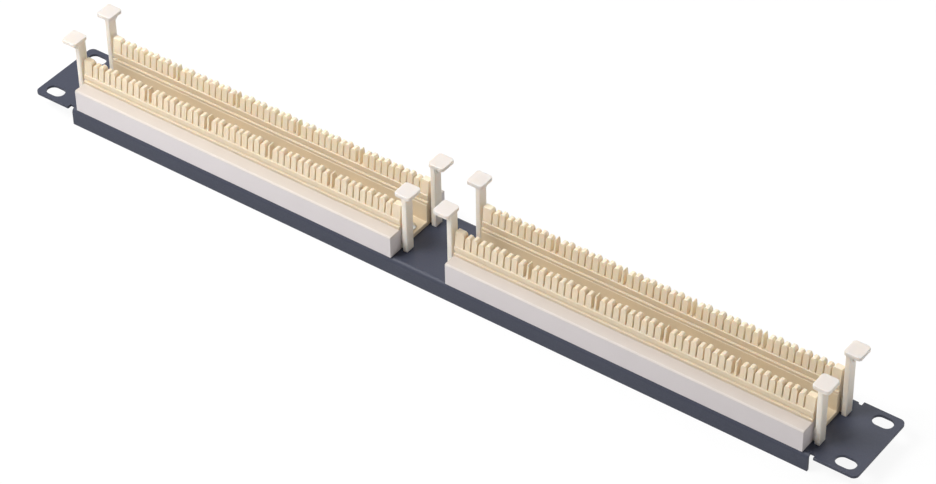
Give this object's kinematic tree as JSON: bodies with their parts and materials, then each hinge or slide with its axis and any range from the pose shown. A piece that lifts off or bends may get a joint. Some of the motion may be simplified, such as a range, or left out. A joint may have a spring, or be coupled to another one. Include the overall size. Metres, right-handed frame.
{
  "type": "rack-mount punch down wiring block",
  "caption": "Rack panel carrying punch down wiring blocks, each a moulded base with slotted index strips and hooked wire retainers at its corners.",
  "frame": {"origin": "middle of the panel, level with the free edges of its return flanges", "axes": "+X along the panel, +Y across it, +Z out of its front face"},
  "size_m": [0.4826, 0.0442, 0.0485],
  "materials": {
    "panel_black": "satin powder coat",
    "base_white": "fine moulded texture",
    "strip_ivory": "fine moulded texture",
    "retainer_white": "smooth moulded",
    "zinc": "zinc plated"
  },
  "bodies": {
    "root": {"rack_panel": "panel_black", "left_base": "base_white", "right_base": "base_white", "left_front_index_strip": "strip_ivory", "left_back_index_strip": "strip_ivory", "right_front_index_strip": "strip_ivory", "right_back_index_strip": "strip_ivory", "left_outer_front_retainer": "retainer_white", "left_outer_back_retainer": "retainer_white", "left_inner_front_retainer": "retainer_white", "left_inner_back_retainer": "retainer_white", "right_inner_front_retainer": "retainer_white", "right_inner_back_retainer": "retainer_white", "right_outer_front_retainer": "retainer_white", "right_outer_back_retainer": "retainer_white", "left_outer_screw": "zinc", "left_inner_screw": "zinc", "right_inner_screw": "zinc", "right_outer_screw": "zinc", "left_outer_washer": "zinc", "left_inner_washer": "zinc", "right_inner_washer": "zinc", "right_outer_washer": "zinc", "left_outer_nut": "zinc", "left_inner_nut": "zinc", "right_inner_nut": "zinc", "right_outer_nut": "zinc"}
  },
  "joints": []
}
